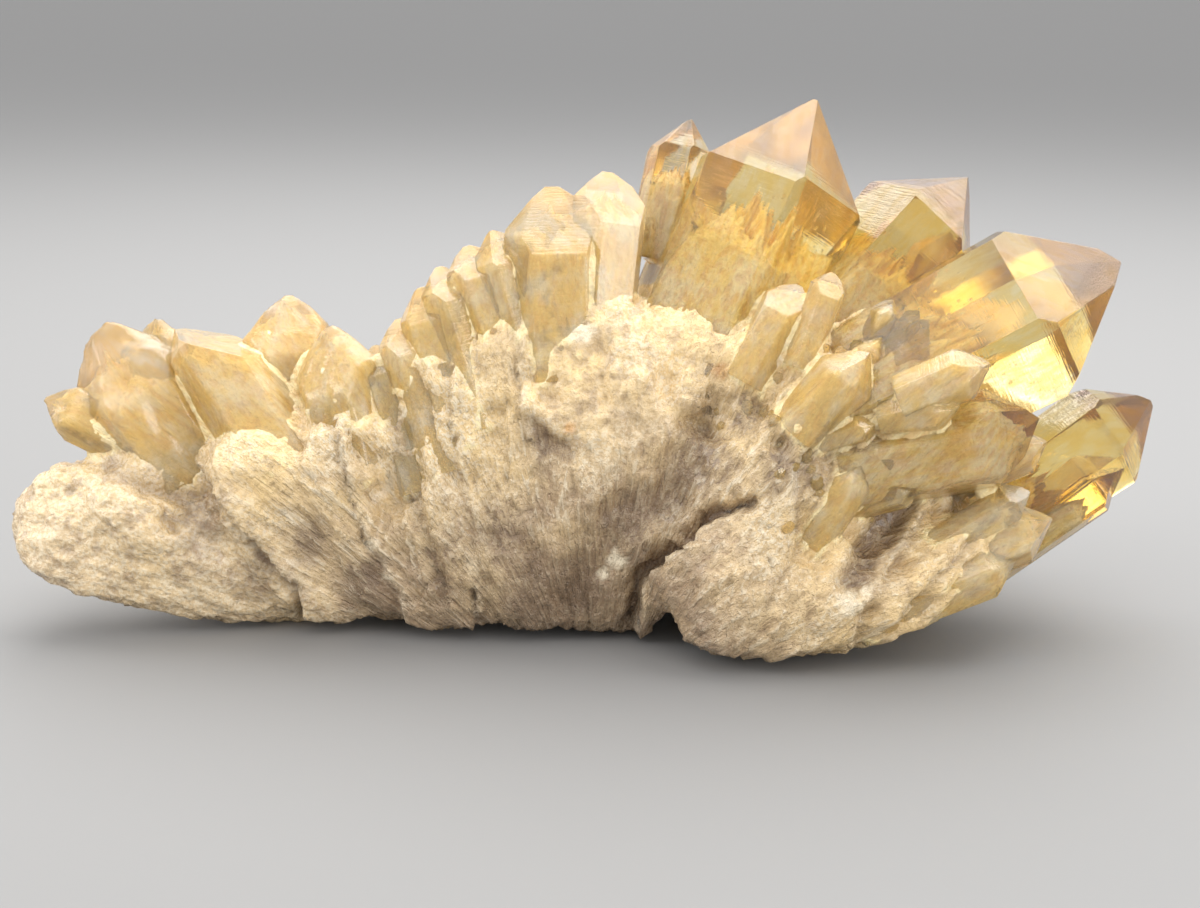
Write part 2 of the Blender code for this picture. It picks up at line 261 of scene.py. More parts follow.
class RootSettings(bpy.types.PropertyGroup):
    """Sizes and colours of the cloudy root."""

    voxel: FloatProperty(
        name="Mesh size", description="Distance between the root's mesh points", default=0.001, unit="LENGTH"
    )
    column: FloatProperty(
        name="Columns", description="Height of the steps between the root's broken columns",
        default=0.0010, unit="LENGTH",
    )
    splinter: FloatProperty(
        name="Splinters", description="Height of the steps between the splinters of a column",
        default=0.00045, unit="LENGTH",
    )
    rib: FloatProperty(name="Ribs", description="Height of the fine ribs", default=0.0016, unit="LENGTH")
    lump: FloatProperty(name="Lumps", description="Height of the broad lumps", default=0.0008, unit="LENGTH")
    crust: FloatProperty(
        name="Crust", description="Roughness of the scar on the middle of the root",
        default=0.0014, unit="LENGTH",
    )
    cloud_cover: FloatProperty(
        name="Cloud cover", description="How far under a crystal's faces the cloud in it ends, as a share",
        default=0.15, subtype="FACTOR", min=0, max=0.6,
    )
    gold: FloatVectorProperty(
        name="Gold", description="Colour near the crystals", default=(0.91, 0.65, 0.30), subtype="COLOR"
    )
    inner: FloatVectorProperty(
        name="Inner cloud", description="Colour of the clouds inside the crystals",
        default=(1.0, 0.82, 0.43), subtype="COLOR",
    )
    cream: FloatVectorProperty(
        name="Cream", description="Colour of the middle of the root",
        default=(0.76, 0.575, 0.35), subtype="COLOR",
    )
    taupe: FloatVectorProperty(
        name="Taupe", description="Colour of the foot of the root",
        default=(0.37, 0.265, 0.185), subtype="COLOR",
    )
    # Painted shade: the colour put in the grooves, under the ledges and along the column seams
    shade: FloatVectorProperty(
        name="Shade", description="Colour of the grooves and seams",
        default=(0.20, 0.125, 0.07), subtype="COLOR",
    )
    # Grey-brown tone of the broad areas, which also paints shade into the valley and the low hollows
    smoky_shade: FloatVectorProperty(
        name="Smoky_shade", description="Colour of the broad smoky areas",
        default=(0.24, 0.163, 0.10), subtype="COLOR",
    )
    # Colour of the frosting, which also paints the light on the root's lit areas
    frost: FloatVectorProperty(
        name="Frost_and_light", description="Colour of the white frosted patches",
        default=(0.93, 0.80, 0.58), subtype="COLOR",
    )


class CrystalSettings(bpy.types.PropertyGroup):
    """Sizes and colours of the crystals."""

    bevel: FloatProperty(
        name="Edge wear", description="Width of the worn edge between two faces",
        default=0.00022, unit="LENGTH",
    )
    citrine: FloatVectorProperty(
        name="Clear citrine", description="What a crystal lets through per length, as a colour",
        default=(0.94, 0.795, 0.17), subtype="COLOR",
    )
    citrine_depth: FloatProperty(
        name="Clear depth", description="How strongly a clear crystal takes light up, per metre", default=40.0
    )
    deep_depth: FloatProperty(
        name="Deep depth", description="How strongly a deeper coloured crystal takes light up, per metre",
        default=85.0,
    )
    amber: FloatVectorProperty(
        name="Amber", description="What an amber crystal lets through per length, as a colour",
        default=(0.97, 0.70, 0.14), subtype="COLOR",
    )
    amber_depth: FloatProperty(
        name="Amber depth", description="How strongly an amber crystal takes light up, per metre",
        default=55.0,
    )
    honey_depth: FloatProperty(
        name="Honey depth", description="How strongly a cloudy crystal takes light up, per metre",
        default=32.0,
    )
    honey: FloatVectorProperty(
        name="Honey", description="Body colour of the cloudy crystals",
        default=(1.0, 0.78, 0.36), subtype="COLOR",
    )
    veil: FloatVectorProperty(
        name="Veil", description="Tint of the thin veils in a clear crystal", default=(0.98, 0.83, 0.44),
        subtype="COLOR",
    )
    milk: FloatVectorProperty(
        name="Milk", description="Colour of the pale veils in the cloudy crystals",
        default=(1.0, 0.92, 0.70), subtype="COLOR",
    )
    veils: IntProperty(
        name="Veils", description="Healed cracks in each clear crystal", default=6, min=0, max=20
    )
    crumbs: FloatProperty(
        name="Crumbs", description="Tiny crystals for each square metre of root between the crystals",
        default=45000,
    )


class StageSettings(bpy.types.PropertyGroup):
    """Colour of the floor, and the power of the lights."""

    floor: FloatVectorProperty(
        name="Floor", description="Colour of the plain floor", default=(0.25, 0.247, 0.243), subtype="COLOR"
    )
    overhead: FloatProperty(
        name="Overhead light", description="Power of the large light overhead", default=8.0, unit="POWER"
    )
    key: FloatProperty(
        name="Key light", description="Power of the light at the left", default=3.6, unit="POWER"
    )
    fill: FloatProperty(
        name="Fill light", description="Power of the light at the right", default=4.0, unit="POWER"
    )
    front: FloatProperty(
        name="Front light", description="Power of the high front light", default=3.6, unit="POWER"
    )


# Helpers for meshes


def add_object(name, data):
    """A new object in the scene, at the origin."""
    made = bpy.data.objects.new(name, data)
    bpy.context.scene.collection.objects.link(made)
    return made


def finished(mesh, name, material, replaces=()):
    """Makes the mesh a piece of the cluster: an object at the origin that rides on the root body."""
    mesh.name = name
    mesh.materials.clear()
    mesh.materials.append(material)
    piece = add_object(name, mesh)
    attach(piece, "root")
    if replaces:
        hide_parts(*replaces)


def mesh_from(bm, name):
    """The mesh that was built in bm, which goes."""
    mesh = bpy.data.meshes.new(name)
    bm.to_mesh(mesh)
    bm.free()
    return mesh


def plain_mesh(source):
    """The object's mesh with its modifiers made real. The object goes."""
    graph = bpy.context.evaluated_depsgraph_get()
    mesh = bpy.data.meshes.new_from_object(source.evaluated_get(graph))
    bpy.data.objects.remove(source)
    return mesh


def remeshed(mesh, voxel):
    """The closed mesh again, in even squares of the voxel's size, in the mesh's own unit."""
    block = add_object("block", mesh)
    even = block.modifiers.new("Even", "REMESH")
    even.mode = "VOXEL"
    even.voxel_size = voxel
    return plain_mesh(block)


def read_points(mesh):
    """The mesh's points as an array."""
    points = np.empty(len(mesh.vertices) * 3, np.float32)
    mesh.vertices.foreach_get("co", points)
    return points.reshape(-1, 3).astype(float)


def write_points(mesh, points):
    """Puts the mesh's points at the array's places."""
    mesh.vertices.foreach_set("co", points.astype(np.float32).ravel())
    mesh.update()


def read_normals(mesh):
    """The direction that the mesh faces at each point, as an array."""
    normals = np.empty(len(mesh.vertices) * 3, np.float32)
    mesh.vertices.foreach_get("normal", normals)
    return normals.reshape(-1, 3).astype(float)


def shade_smooth(mesh):
    """Lets light run smoothly over the mesh's faces."""
    mesh.polygons.foreach_set("use_smooth", [True] * len(mesh.polygons))


def smoothed(mesh, points, share, times):
    """Moves each point towards its neighbours' middle, by its share, so many times."""
    edges = np.empty(len(mesh.edges) * 2, np.int32)
    mesh.edges.foreach_get("vertices", edges)
    one, other = edges.reshape(-1, 2).T
    ends = np.concatenate((one, other))
    count = np.maximum(np.bincount(ends, minlength=len(points)), 1)
    for _ in range(times):
        middle = np.empty_like(points)
        for axis in range(3):
            reach = np.concatenate((points[other, axis], points[one, axis]))
            middle[:, axis] = np.bincount(ends, reach, len(points)) / count
        points = points + (middle - points) * share[:, None]
    return points


def write_values(mesh, name, values):
    """Stores a number for each point of the mesh, which its material reads by name."""
    mesh.attributes.new(name, "FLOAT", "POINT").data.foreach_set("value", np.asarray(values, np.float32))


def smooth_step(values, low, high):
    """The values' way from low to high, from 0 to 1 with soft ends."""
    share = np.clip((values - low) / (high - low), 0, 1)
    return share * share * (3 - 2 * share)


def noise_at(points, size, seed=0.0):
    """Smooth noise from -1 to 1 at each point, with lumps of the given size."""
    return np.array([noise.noise(Vector(point) / size + Vector((seed, 0, 0))) for point in points])


# Helpers for materials


def add_node(tree, kind, inputs=None, **settings):
    """Adds a node to the tree, and sets or links its inputs by name or number."""
    made = tree.nodes.new(kind)
    for key, value in settings.items():
        setattr(made, key, value)
    for key, value in (inputs or {}).items():
        if isinstance(value, bpy.types.NodeSocket):
            tree.links.new(value, made.inputs[key])
        else:
            made.inputs[key].default_value = value
    return made


def mixed(tree, share, first, second):
    """The colour between first and second, by share."""
    ends = [end if isinstance(end, bpy.types.NodeSocket) else (*end, 1) for end in (first, second)]
    return add_node(tree, "ShaderNodeMix", {0: share, 6: ends[0], 7: ends[1]}, data_type="RGBA").outputs[2]


def sums(tree, operation, first, second=0.0, third=0.0, clamp=False):
    """One calculation with values."""
    inputs = {0: first, 1: second, 2: third}
    return add_node(tree, "ShaderNodeMath", inputs, operation=operation, use_clamp=clamp).outputs[0]


def times(tree, first, *others):
    """The product of the values."""
    for other in others:
        first = sums(tree, "MULTIPLY", first, other)
    return first


def vectors(tree, operation, first, second=(0, 0, 0)):
    """One calculation with vectors."""
    return add_node(tree, "ShaderNodeVectorMath", {0: first, 1: second}, operation=operation).outputs[0]


def scaled(tree, vector, scale):
    """The vector, times a value."""
    return add_node(tree, "ShaderNodeVectorMath", {0: vector, "Scale": scale}, operation="SCALE").outputs[0]


def speckled(tree, place, scale, detail, roughness=0.5):
    """Smooth noise from 0 to 1 at the place."""
    inputs = {"Vector": place, "Scale": scale, "Detail": detail, "Roughness": roughness}
    return add_node(tree, "ShaderNodeTexNoise", inputs).outputs[0]


def bumped(tree, shader, height, strength, distance):
    """Gives the shader's faces the height as a bump."""
    bump = add_node(tree, "ShaderNodeBump", {"Height": height, "Strength": strength, "Distance": distance})
    tree.links.new(bump.outputs[0], shader.inputs["Normal"])


def ranged(tree, value, low, high, to_low=0.0, to_high=1.0):
    """The value between low and high, spread smoothly over the new range."""
    inputs = {"Value": value, "From Min": low, "From Max": high, "To Min": to_low, "To Max": to_high}
    return add_node(tree, "ShaderNodeMapRange", inputs, interpolation_type="SMOOTHSTEP").outputs["Result"]


def new_group(name, inputs, outputs):
    """A shader node group with its inner ends. Its inputs come with their defaults, and each output is
    a value."""
    tree = bpy.data.node_groups.new(name, "ShaderNodeTree")
    for key, default in inputs.items():
        kind = "NodeSocketFloat" if isinstance(default, float) else "NodeSocketVector"
        tree.interface.new_socket(key, in_out="INPUT", socket_type=kind).default_value = default
    for key in outputs:
        tree.interface.new_socket(key, in_out="OUTPUT", socket_type="NodeSocketFloat")
    return tree, tree.nodes.new("NodeGroupInput"), tree.nodes.new("NodeGroupOutput")


def growth_fibres():
    """Noise drawn out along the lines that run from the growth centre, at two sizes."""
    name = "Growth fibres"
    if name in bpy.data.node_groups:
        return bpy.data.node_groups[name]
    inputs = {"Position": (0, 0, 0), "Centre": (0, 0, 0), "Around": 60.0, "Along": 60.0}
    tree, start, end = new_group(name, inputs, ("Fine", "Broad", "Distance"))
    away = vectors(tree, "SUBTRACT", start.outputs["Position"], start.outputs["Centre"])
    length = add_node(tree, "ShaderNodeVectorMath", {0: away}, operation="LENGTH")
    way = vectors(tree, "NORMALIZE", away)
    for output, wider, detail in (("Fine", 1.0, 3.0), ("Broad", 0.22, 2.0)):
        turned = scaled(tree, way, times(tree, start.outputs["Around"], wider))
        drawn = scaled(tree, away, times(tree, start.outputs["Along"], wider))
        grain = speckled(tree, vectors(tree, "ADD", turned, drawn), 1.0, detail, 0.6)
        tree.links.new(grain, end.inputs[output])
    tree.links.new(length.outputs["Value"], end.inputs["Distance"])
    return tree


def growth_marks():
    """Height of a crystal face's growth marks: fine lines across the crystal, and low hills."""
    name = "Growth marks"
    if name in bpy.data.node_groups:
        return bpy.data.node_groups[name]
    inputs = {"Growth": (0, 0, 0), "Position": (0, 0, 0), "Lines": 1.0, "Hills": 1.0}
    tree, start, end = new_group(name, inputs, ("Height",))
    lines = speckled(tree, vectors(tree, "MULTIPLY", start.outputs["Growth"], (0.12, 2.6, 1)), 1.0, 2.0, 0.55)
    hills = speckled(tree, start.outputs["Position"], 260.0, 2.0)
    lines = times(tree, lines, start.outputs["Lines"])
    total = sums(tree, "MULTIPLY_ADD", hills, start.outputs["Hills"], lines)
    tree.links.new(total, end.inputs["Height"])
    return tree


def crystal_veils():
    """How milky a crystal is from place to place: streaks that run up it, and clouds in it."""
    name = "Crystal veils"
    if name in bpy.data.node_groups:
        return bpy.data.node_groups[name]
    inputs = {
        "Growth": (0, 0, 0), "Position": (0, 0, 0), "Streak Size": (0.5, 0.12, 1), "Streak Share": 0.5,
        "Cloud Scale": 110.0, "Unevenness": 0.6,
    }
    tree, start, end = new_group(name, inputs, ("Amount",))
    rough = start.outputs["Unevenness"]
    drawn = vectors(tree, "MULTIPLY", start.outputs["Growth"], start.outputs["Streak Size"])
    streaks = speckled(tree, drawn, 1.0, 3.0, sums(tree, "ADD", rough, 0.02))
    clouds = speckled(tree, start.outputs["Position"], start.outputs["Cloud Scale"], 3.0, rough)
    share = start.outputs["Streak Share"]
    clouds = times(tree, clouds, sums(tree, "SUBTRACT", 1.0, share))
    tree.links.new(sums(tree, "MULTIPLY_ADD", streaks, share, clouds), end.inputs["Amount"])
    return tree


def grouped(tree, group, inputs):
    """Places a node group in a material with its own values."""
    return add_node(tree, "ShaderNodeGroup", inputs, node_tree=group)


def new_material(name):
    """A material with its node tree and its Principled shader."""
    material = bpy.data.materials.new(name)
    material.use_nodes = True
    return material, material.node_tree, material.node_tree.nodes["Principled BSDF"]


def object_place(tree):
    """Each point's place on the object."""
    return add_node(tree, "ShaderNodeTexCoord").outputs["Object"]


def set_inputs(shader, values):
    """Sets the shader's inputs by name."""
    for key, value in values.items():
        shader.inputs[key].default_value = value


def cloudy_quartz(settings):
    """The root: milky quartz with fibres that run out from the growth centre, golden near the crystals."""
    material, tree, shader = new_material("Cloudy quartz")
    place = object_place(tree)
    values = {"Position": place, "Centre": spot(*GROWTH_CENTRE), "Around": 58.0, "Along": 90.0}
    fibres = grouped(tree, growth_fibres(), values)
    fine, broad, distance = (fibres.outputs[key] for key in ("Fine", "Broad", "Distance"))
    gold, frost, white, shade, stain, inner, grit, smoke = (
        add_node(tree, "ShaderNodeAttribute", attribute_name=name).outputs["Fac"]
        for name in ("gold", "frost", "white", "shade", "stain", "inner", "grit", "smoke")
    )
    grain = speckled(tree, place, 1100.0, 2.0, 0.75)
    clouds = speckled(tree, place, 75.0, 3.0, 0.62)
    mottle = speckled(tree, place, 260.0, 2.0, 0.65)

    # Taupe at the foot, cream further out, gold near the crystals, and the clouds inside them
    outward = ranged(tree, distance, 0.040, 0.080)
    outward = sums(tree, "MULTIPLY_ADD", sums(tree, "SUBTRACT", clouds, 0.5), 3.0, outward, clamp=True)
    colour = mixed(tree, outward, settings.taupe, settings.cream)
    warm = sums(tree, "MULTIPLY", gold, ranged(tree, clouds, 0.30, 0.60, 0.55, 1.0), clamp=True)
    colour = mixed(tree, warm, colour, settings.gold)
    feather = mixed(tree, ranged(tree, fine, 0.38, 0.56), settings.gold, settings.inner)
    colour = mixed(tree, inner, colour, feather)

    # Dull spots and dark fibres, which fade where the quartz is golden, and pale fibres
    dull = sums(tree, "MULTIPLY_ADD", inner, -0.3, sums(tree, "MULTIPLY_ADD", gold, -0.6, 1.0))
    smooth = sums(tree, "MULTIPLY_ADD", grit, -0.7, 1.0)
    colour = mixed(tree, times(tree, ranged(tree, mottle, 0.36, 0.54, 0.36, 0.0), dull), colour, DULL_SPOT)
    dark = times(tree, ranged(tree, fine, 0.32, 0.52, 0.85, 0.0), ranged(tree, broad, 0.35, 0.62, 1.0, 0.25))
    colour = mixed(tree, times(tree, dark, dull, smooth), colour, DARK_FIBRE)
    pale = times(tree, ranged(tree, fine, 0.52, 0.64), ranged(tree, broad, 0.36, 0.58, 0.2, 1.0), smooth)
    pale = times(tree, pale, ranged(tree, distance, 0.048, 0.074, 0.25, 0.8))
    pale = times(tree, pale, ranged(tree, gold, 0.5, 1.0, 1.0, 0.4))
    colour = mixed(tree, pale, colour, settings.frost)

    # Frosting and painted light, in fine white dots that also paint glints; pits; grey-brown tone with
    # painted shade in the valley and the hollows; stains; painted shade in the dips of the grit; painted
    # shade in the grooves, under the ledges and along the seams; and white patches
    # Frosting and painted light, broken into fine white dots that also paint the glints of the rough surface
    glint_specks = sums(tree, "MULTIPLY_ADD", ranged(tree, grain, 0.47, 0.60), 0.85, 0.1)
    colour = mixed(tree, sums(tree, "MULTIPLY", frost, glint_specks, clamp=True), colour, settings.frost)
    colour = mixed(tree, times(tree, ranged(tree, grain, 0.30, 0.44, 0.32, 0.0), dull), colour, PIT)
    # Grey-brown tone, partly the quartz's own and partly painted shade in the valley and the low hollows
    streaks = sums(tree, "MULTIPLY_ADD", fine, 0.5, times(tree, clouds, 0.5))
    smoke_and_shade_mix = times(tree, smoke, ranged(tree, streaks, 0.38, 0.60, 1.0, 0.4))
    colour = mixed(tree, smoke_and_shade_mix, colour, settings.smoky_shade)
    colour = mixed(tree, times(tree, stain, 0.6), colour, RUST)
    # Painted shade: the rubble's dips, where its bump is low, are darkened
    colour = mixed(tree, times(tree, ranged(tree, mottle, 0.34, 0.48, 0.5, 0.0), grit), colour, RUBBLE_DIP_SHADE)
    # Painted shade in the grooves, under the ledges and along the column seams
    shadow = sums(tree, "MULTIPLY", shade, ranged(tree, fine, 0.35, 0.65, 1.15, 0.75), clamp=True)
    colour = mixed(tree, shadow, colour, settings.shade)
    colour = mixed(tree, times(tree, white, ranged(tree, grain, 0.35, 0.6, 0.5, 1.0)), colour, settings.frost)
    tree.links.new(colour, shader.inputs["Base Color"])
    tree.links.new(ranged(tree, grain, 0.40, 0.62, 0.17, 0.44), shader.inputs["Roughness"])

    lines = times(tree, fine, 1.1, smooth)
    rubble = times(tree, mottle, 1.4, grit)
    height = sums(tree, "MULTIPLY_ADD", grain, 0.3, sums(tree, "ADD", lines, rubble))
    bumped(tree, shader, height, 1.0, 0.0012)
    set_inputs(shader, {"IOR": ROOT_IOR, "Coat Weight": 0.35, "Coat Roughness": 0.12})
    return material


def crystal_material(name, marks, veils, colour, density):
    """A crystal's material that takes up light along its depth, how milky it is, and its growth marks."""
    material, tree, shader = new_material(name)
    growth = add_node(tree, "ShaderNodeUVMap", uv_map="growth").outputs[0]
    places = {"Growth": growth, "Position": object_place(tree)}
    height = grouped(tree, growth_marks(), {**places, **marks}).outputs["Height"]
    amount = grouped(tree, crystal_veils(), {**places, **veils}).outputs["Amount"]
    take = add_node(tree, "ShaderNodeVolumeAbsorption", {"Color": (*colour, 1), "Density": density})
    tree.links.new(take.outputs[0], tree.nodes["Material Output"].inputs["Volume"])
    shader.inputs["IOR"].default_value = CRYSTAL_IOR
    return material, tree, shader, amount, height


def clear_quartz(name, settings, colour, density, lines=0.5, roughness=0.03):
    """Clear golden quartz: glass that takes up blue light along its depth, with thin veils."""
    marks = {"Lines": lines, "Hills": 0.35}
    veils = {"Streak Size": (0.55, 0.13, 1), "Streak Share": 0.5, "Cloud Scale": 110.0, "Unevenness": 0.66}
    material, tree, shader, amount, height = crystal_material(name, marks, veils, colour, density)
    tint = mixed(tree, ranged(tree, amount, 0.42, 0.58), (1.0, 0.99, 0.96), settings.veil)
    tree.links.new(tint, shader.inputs["Base Color"])
    tree.links.new(ranged(tree, amount, 0.44, 0.62, roughness, roughness + 0.12), shader.inputs["Roughness"])
    bumped(tree, shader, height, 0.35, 0.0003)
    shader.inputs["Transmission Weight"].default_value = CLEAR_SHARE
    return material


def milky_quartz(name, settings, transmission, roughness, wear):
    """Cloudy golden crystals, partly clear and partly milk, with veils that run up the crystal."""
    marks = {"Lines": 0.35, "Hills": wear}
    veils = {"Streak Size": (0.42, 0.12, 1), "Streak Share": 0.35, "Cloud Scale": 140.0, "Unevenness": 0.6}
    material, tree, shader, amount, height = crystal_material(
        name, marks, veils, settings.amber, settings.honey_depth
    )
    tint = mixed(tree, ranged(tree, amount, 0.42, 0.62), settings.honey, settings.milk)
    tree.links.new(tint, shader.inputs["Base Color"])
    tree.links.new(ranged(tree, amount, 0.40, 0.62, roughness, roughness + 0.15), shader.inputs["Roughness"])
    bumped(tree, shader, height, 0.4, 0.0004)
    shader.inputs["Transmission Weight"].default_value = transmission
    return material


def veil_finish():
    """Healed cracks inside a clear crystal, which catch the light."""
    material, tree, shader = new_material("Healed cracks")
    glints = ranged(tree, speckled(tree, object_place(tree), 700.0, 2.0), 0.4, 0.6)
    colour = mixed(tree, glints, (1.0, 0.80, 0.42), (1.0, 0.96, 0.82))
    tree.links.new(colour, shader.inputs["Base Color"])
    set_inputs(shader, {"Roughness": 0.06, "IOR": 1.25, "Transmission Weight": 0.8})
    return material


# The crystals


def crystal_mesh(crystal, bevel, place=None):
    """A closed crystal cut by its growth planes, with worn edges and its own growth coordinates."""
    place = place or to_row_frame() @ placement(crystal)
    bm = bmesh.new()
    bmesh.ops.create_cube(bm, size=UNCUT_SIZE)
    for point, normal in growth_planes(crystal):
        every = bm.verts[:] + bm.edges[:] + bm.faces[:]
        cut = bmesh.ops.bisect_plane(bm, geom=every, plane_co=point, plane_no=normal, clear_outer=True)
        rim = [edge for edge in cut["geom_cut"] if isinstance(edge, bmesh.types.BMEdge)]
        if rim:
            bmesh.ops.contextual_create(bm, geom=rim)
    bmesh.ops.recalc_face_normals(bm, faces=bm.faces[:])
    wear = min(bevel / MM, crystal.width * 0.02) * (1 + 4 * crystal.worn)
    bmesh.ops.bevel(
        bm, geom=bm.edges[:], offset=wear, segments=2, profile=0.6, affect="EDGES", clamp_overlap=True
    )
    if crystal.worn > SLIGHTLY_WORN:
        bm = worn_faces(bm, crystal)
    growth = bm.loops.layers.uv.new("growth")
    for face in bm.faces:
        start = math.atan2(face.verts[0].co.y, face.verts[0].co.x)
        for loop in face.loops:
            turn = math.atan2(loop.vert.co.y, loop.vert.co.x)
            turn += 2 * math.pi * round((start - turn) / (2 * math.pi))
            loop[growth].uv = (turn * crystal.width / 2, loop.vert.co.z)
    bmesh.ops.transform(bm, matrix=place, verts=bm.verts[:])
    return mesh_from(bm, crystal.name)


def worn_faces(bm, crystal):
    """The crystal again in small squares, its faces and edges made uneven."""
    mesh = remeshed(mesh_from(bm, crystal.name), WORN_SQUARE)
    points = read_points(mesh)
    even = smoothed(mesh, points, np.full(len(points), 0.5), 2)
    write_points(mesh, even)
    normals = read_normals(mesh)
    drawn = even * np.array((1, 1, 0.35))
    relief = noise_at(drawn, 5.0, 3.1) * 0.6 + noise_at(drawn, 2.2, 9.7) * 0.4 - 0.35
    write_points(mesh, even + normals * (relief * crystal.worn)[:, None])
    shade_smooth(mesh)
    again = bmesh.new()
    again.from_mesh(mesh)
    return again


def crystal_piece(name, crystals, material, bevel):
    """One piece of the cluster, of one crystal or several."""
    bm = bmesh.new()
    for crystal in crystals:
        mesh = crystal_mesh(crystal, bevel)
        bm.from_mesh(mesh)
        bpy.data.meshes.remove(mesh)
    finished(mesh_from(bm, name), name, material)


# What grows in great numbers


def scatter_tree():
    """Sets copies of a small object on a surface, turned between its normal and the way of growth."""
    name = "Scattered growth"
    if name in bpy.data.node_groups:
        return bpy.data.node_groups[name]
    tree = bpy.data.node_groups.new(name, "GeometryNodeTree")
    sockets = {
        "Surface": "NodeSocketGeometry", "Copy": "NodeSocketObject", "Per Area": "NodeSocketFloat",
        "Smallest": "NodeSocketFloat", "Largest": "NodeSocketFloat", "Along Growth": "NodeSocketFloat",
        "Untidiness": "NodeSocketFloat", "Growth Centre": "NodeSocketVector", "Seed": "NodeSocketInt",
        "Material": "NodeSocketMaterial",
    }
    for key, kind in sockets.items():
        tree.interface.new_socket(key, in_out="INPUT", socket_type=kind)
    tree.interface.new_socket("Pieces", in_out="OUTPUT", socket_type="NodeSocketGeometry")
    start, end = tree.nodes.new("NodeGroupInput").outputs, tree.nodes.new("NodeGroupOutput")
    seed = start["Seed"]
    wanted = add_node(tree, "GeometryNodeInputNamedAttribute", {"Name": "crumbs"}, data_type="FLOAT")
    density = times(tree, wanted.outputs[0], start["Per Area"])
    spread = {"Mesh": start["Surface"], "Density": density, "Seed": seed}
    points = add_node(tree, "GeometryNodeDistributePointsOnFaces", spread)
    place = add_node(tree, "GeometryNodeInputPosition").outputs[0]
    way = vectors(tree, "NORMALIZE", vectors(tree, "SUBTRACT", place, start["Growth Centre"]))
    between = {0: start["Along Growth"], 4: points.outputs["Normal"], 5: way}
    lean = add_node(tree, "ShaderNodeMix", between, data_type="VECTOR").outputs[1]
    either_way = {0: (-1, -1, -1), 1: (1, 1, 1), "Seed": seed}
    chance = add_node(tree, "FunctionNodeRandomValue", either_way, data_type="FLOAT_VECTOR").outputs[0]
    up = vectors(tree, "ADD", lean, scaled(tree, chance, start["Untidiness"]))
    turned = add_node(tree, "FunctionNodeAlignRotationToVector", {"Vector": up}, axis="Z").outputs[0]
    sizes = {2: start["Smallest"], 3: start["Largest"], "Seed": seed}
    size = add_node(tree, "FunctionNodeRandomValue", sizes, data_type="FLOAT").outputs[1]
    copy = add_node(tree, "GeometryNodeObjectInfo", {"Object": start["Copy"]}).outputs["Geometry"]
    placed = {"Points": points.outputs["Points"], "Instance": copy, "Rotation": turned, "Scale": size}
    copies = add_node(tree, "GeometryNodeInstanceOnPoints", placed).outputs[0]
    solid = add_node(tree, "GeometryNodeRealizeInstances", {"Geometry": copies}).outputs[0]
    coloured = add_node(tree, "GeometryNodeSetMaterial", {"Geometry": solid, "Material": start["Material"]})
    tree.links.new(coloured.outputs[0], end.inputs["Pieces"])
    return tree


def scattered(name, surface, copy, material, values):
    """A piece made of copies of one small mesh, set on the surface where its crumbs value asks for them."""
    small = add_object("small copy", copy)
    ground = add_object("ground", surface)
    tree = scatter_tree()
    scatter = ground.modifiers.new("Scatter", "NODES")
    scatter.node_group = tree
    known = {item.name: item.identifier for item in tree.interface.items_tree if item.in_out == "INPUT"}
    values = {"Copy": small, "Material": material, "Growth Centre": spot(*GROWTH_CENTRE), **values}
    for key, value in values.items():
        scatter[known[key]] = value
    mesh = plain_mesh(ground)
    bpy.data.objects.remove(small)
    finished(mesh, name, material)


def crack_sheets(crystals, count):
    """Curved sheets inside the crystals, along which they cracked and healed."""
    chance = random.Random("healed cracks")
    bm = bmesh.new()
    for crystal in crystals:
        planes = growth_planes(crystal)
        forth = to_row_frame() @ placement(crystal)
        height = (Vector(crystal.tip) - Vector(crystal.root)).length
        inner = crystal.width / 2
        for _ in range(count):
            turn = chance.uniform(0, 2 * math.pi)
            out = inner * chance.uniform(0.1, 0.6)
            centre = Vector((math.cos(turn) * out, math.sin(turn) * out, height * chance.uniform(0.30, 0.62)))
            normal = Vector((chance.uniform(-1, 1), chance.uniform(-1, 1), chance.uniform(-0.9, 0.9)))
            normal.normalize()
            across = normal.orthogonal().normalized()
            beside = normal.cross(across)
            reach = inner * chance.uniform(0.35, 0.7)
            grid = {}
            for row, column in np.ndindex(CRACK_POINTS, CRACK_POINTS):
                u, v = (2 * step / (CRACK_POINTS - 1) - 1 for step in (row, column))
                place = centre + reach * (across * u + beside * v) + normal * reach * 0.25 * (u * u - v)
                covered = all((place - at).dot(face) < -CRACK_COVER for at, face in planes)
                if covered and u * u + v * v < CRACK_RIM:
                    grid[row, column] = bm.verts.new(forth @ place)
            for row, column in grid:
                corners = [grid.get((row + a, column + b)) for a, b in ((0, 0), (1, 0), (1, 1), (0, 1))]
                if all(corners):
                    bm.faces.new(corners)
    mesh = mesh_from(bm, "crack sheets")
    write_values(mesh, "crumbs", np.ones(len(mesh.vertices)))
    return mesh


def flake_mesh():
    """A thin uneven flake, a millimetre across."""
    bm = bmesh.new()
    rim = [(1.0, 0), (0.55, 0.75), (-0.35, 0.85), (-0.95, 0.1), (-0.5, -0.7), (0.45, -0.6)]
    middle = bm.verts.new(Vector((0, 0, 0.08)) * MM)
    around = [bm.verts.new(Vector((x / 2, y / 2, 0)) * MM) for x, y in rim]
    for one, other in zip(around, around[1:] + around[:1]):
        bm.faces.new((middle, one, other))
    return mesh_from(bm, "flake")


# The root


